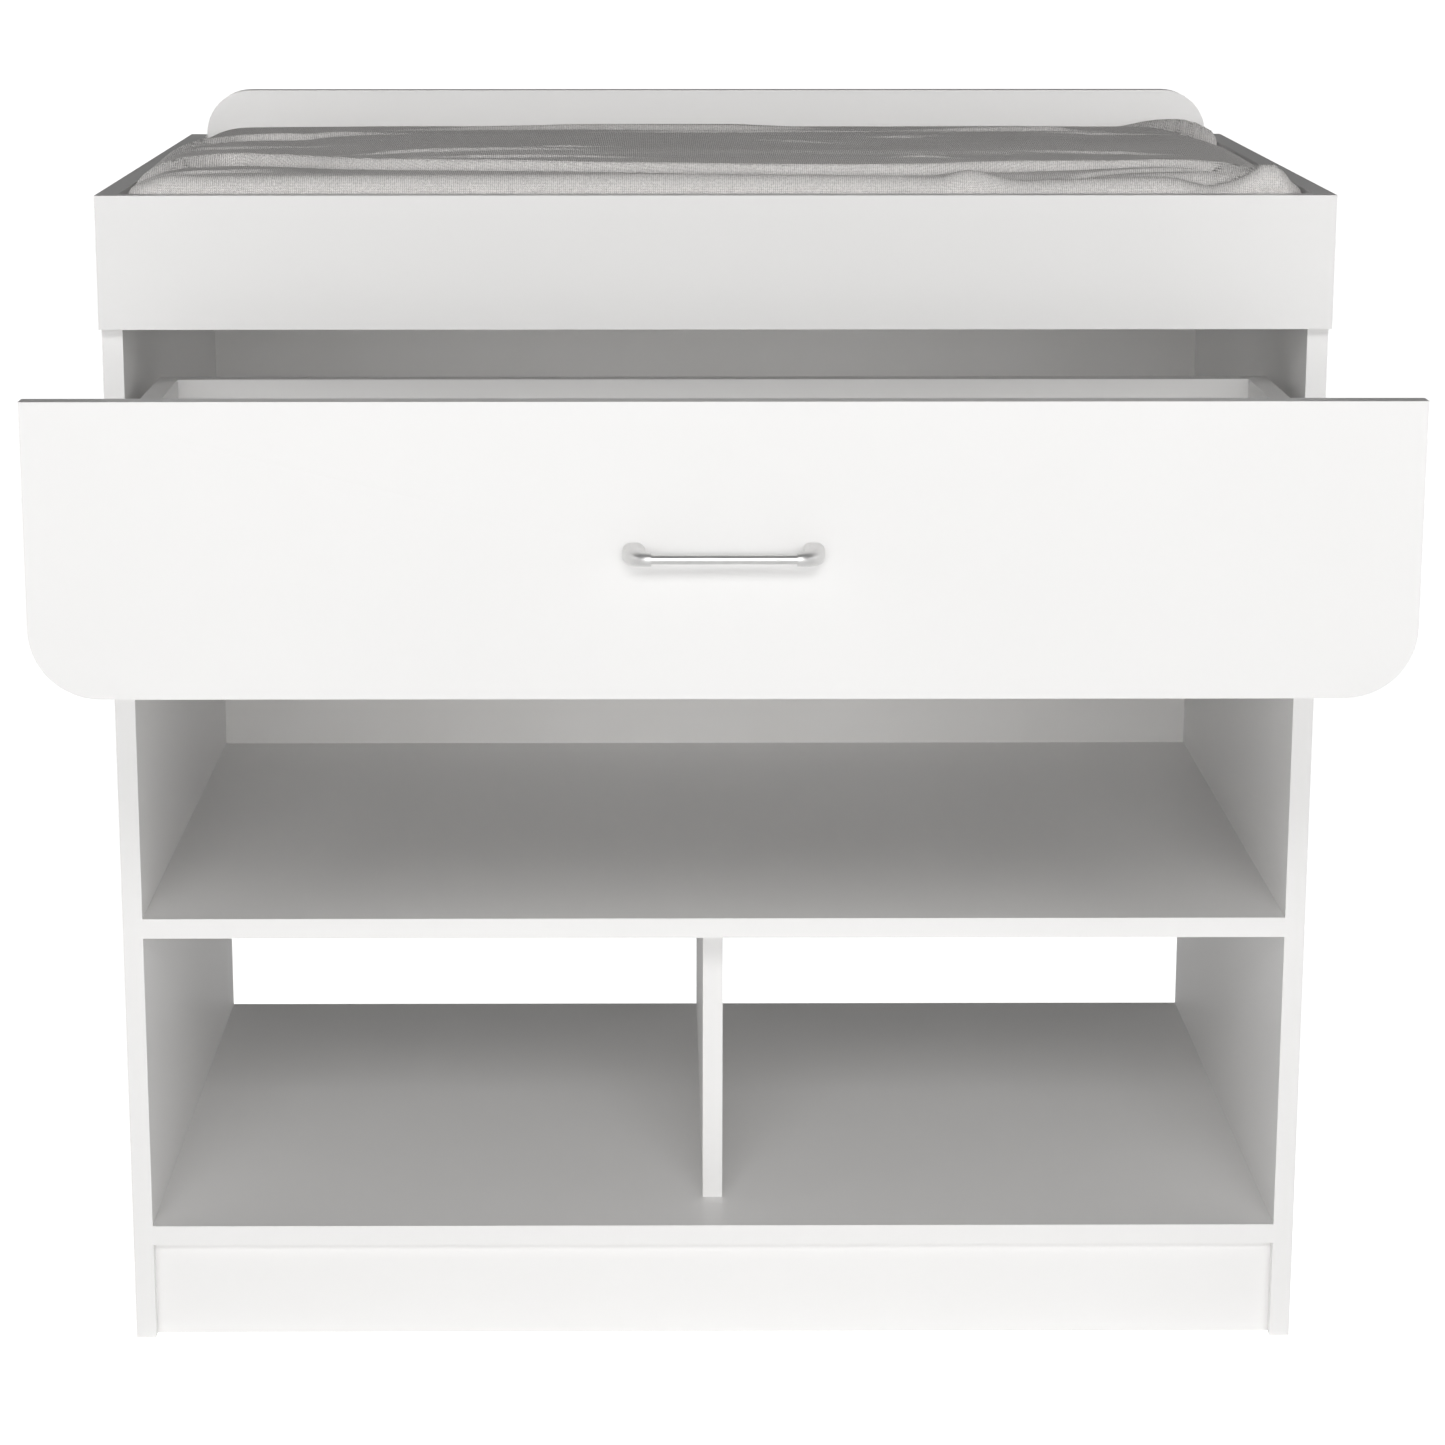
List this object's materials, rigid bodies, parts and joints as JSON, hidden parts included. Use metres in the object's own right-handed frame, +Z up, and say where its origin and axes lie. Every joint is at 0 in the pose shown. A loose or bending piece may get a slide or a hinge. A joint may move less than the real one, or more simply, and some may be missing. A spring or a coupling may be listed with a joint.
{
  "type": "changing table",
  "caption": "Free-standing changing table in white coated board: tray top with a padded mat, one wide full-extension drawer, an open middle bay and two open lower bays.",
  "frame": {"origin": "on the floor, under the middle of the table's outer box as it stands with its drawer open", "axes": "+X to the table's right as one faces its front, +Y from the front to the back, +Z up"},
  "size_m": [0.88, 0.9518, 0.906],
  "materials": {
    "white_board": "satin",
    "thin_panel": "satin",
    "zinc_steel": "satin",
    "bearing_steel": "polished",
    "beech": "matte",
    "white_plastic": "satin",
    "polished_metal": "polished",
    "pad_fabric": "matte"
  },
  "bodies": {
    "cabinet": {"left_side_panel": "white_board", "right_side_panel": "white_board", "tray_base_board": "white_board", "tray_front_rail": "white_board", "tray_back_board": "white_board", "mid_shelf": "white_board", "bottom_board": "white_board", "divider": "white_board", "plinth": "white_board", "back_panel": "thin_panel", "carcass_dowels": "beech", "carcass_cam_bolts": "zinc_steel", "carcass_cam_locks": "zinc_steel", "cam_cover_caps": "white_plastic", "back_panel_nails": "zinc_steel", "left_slide_cabinet_member": "zinc_steel", "right_slide_cabinet_member": "zinc_steel", "cabinet_slide_screws": "zinc_steel"},
    "drawer": {"drawer_front": "white_board", "drawer_left_side": "white_board", "drawer_right_side": "white_board", "drawer_back": "white_board", "drawer_bottom": "thin_panel", "drawer_dowels": "beech", "drawer_cam_bolts": "zinc_steel", "drawer_cam_locks": "zinc_steel", "drawer_back_screws": "zinc_steel", "drawer_bottom_screws": "zinc_steel", "left_slide_drawer_member": "zinc_steel", "right_slide_drawer_member": "zinc_steel", "drawer_slide_screws": "zinc_steel", "handle_bar": "polished_metal", "handle_left_post": "polished_metal", "handle_right_post": "polished_metal", "handle_screws": "zinc_steel"},
    "pad": {"changing_pad": "pad_fabric"},
    "left_slide_middle": {"left_slide_middle_member": "zinc_steel"},
    "left_outer_cage": {"left_outer_ball_cage": "zinc_steel", "left_outer_balls": "bearing_steel"},
    "left_inner_cage": {"left_inner_ball_cage": "zinc_steel", "left_inner_balls": "bearing_steel"},
    "right_slide_middle": {"right_slide_middle_member": "zinc_steel"},
    "right_outer_cage": {"right_outer_ball_cage": "zinc_steel", "right_outer_balls": "bearing_steel"},
    "right_inner_cage": {"right_inner_ball_cage": "zinc_steel", "right_inner_balls": "bearing_steel"}
  },
  "joints": [
    {"name": "drawer_slide", "type": "slide", "parent": "cabinet", "child": "drawer", "axis": [0, -1, 0], "range_m": [-0.3475, 0.102]},
    {"name": "left_slide_middle_travel", "type": "slide", "parent": "cabinet", "child": "left_slide_middle", "axis": [0, -1, 0], "range_m": [-0.17375, 0.051]},
    {"name": "left_outer_cage_travel", "type": "slide", "parent": "cabinet", "child": "left_outer_cage", "axis": [0, -1, 0], "range_m": [-0.08687, 0.0255]},
    {"name": "left_inner_cage_travel", "type": "slide", "parent": "cabinet", "child": "left_inner_cage", "axis": [0, -1, 0], "range_m": [-0.26062, 0.0765]},
    {"name": "right_slide_middle_travel", "type": "slide", "parent": "cabinet", "child": "right_slide_middle", "axis": [0, -1, 0], "range_m": [-0.17375, 0.051]},
    {"name": "right_outer_cage_travel", "type": "slide", "parent": "cabinet", "child": "right_outer_cage", "axis": [0, -1, 0], "range_m": [-0.08687, 0.0255]},
    {"name": "right_inner_cage_travel", "type": "slide", "parent": "cabinet", "child": "right_inner_cage", "axis": [0, -1, 0], "range_m": [-0.26062, 0.0765]},
    {"name": "pad_lift", "type": "slide", "parent": "cabinet", "child": "pad", "axis": [0, 0, 1], "range_m": [0, 0.15]}
  ],
  "couplings": [
    {"joint": "left_slide_middle_travel", "follows": "drawer_slide", "ratio": 0.5},
    {"joint": "left_outer_cage_travel", "follows": "drawer_slide", "ratio": 0.25},
    {"joint": "left_inner_cage_travel", "follows": "drawer_slide", "ratio": 0.75},
    {"joint": "right_slide_middle_travel", "follows": "drawer_slide", "ratio": 0.5},
    {"joint": "right_outer_cage_travel", "follows": "drawer_slide", "ratio": 0.25},
    {"joint": "right_inner_cage_travel", "follows": "drawer_slide", "ratio": 0.75}
  ]
}
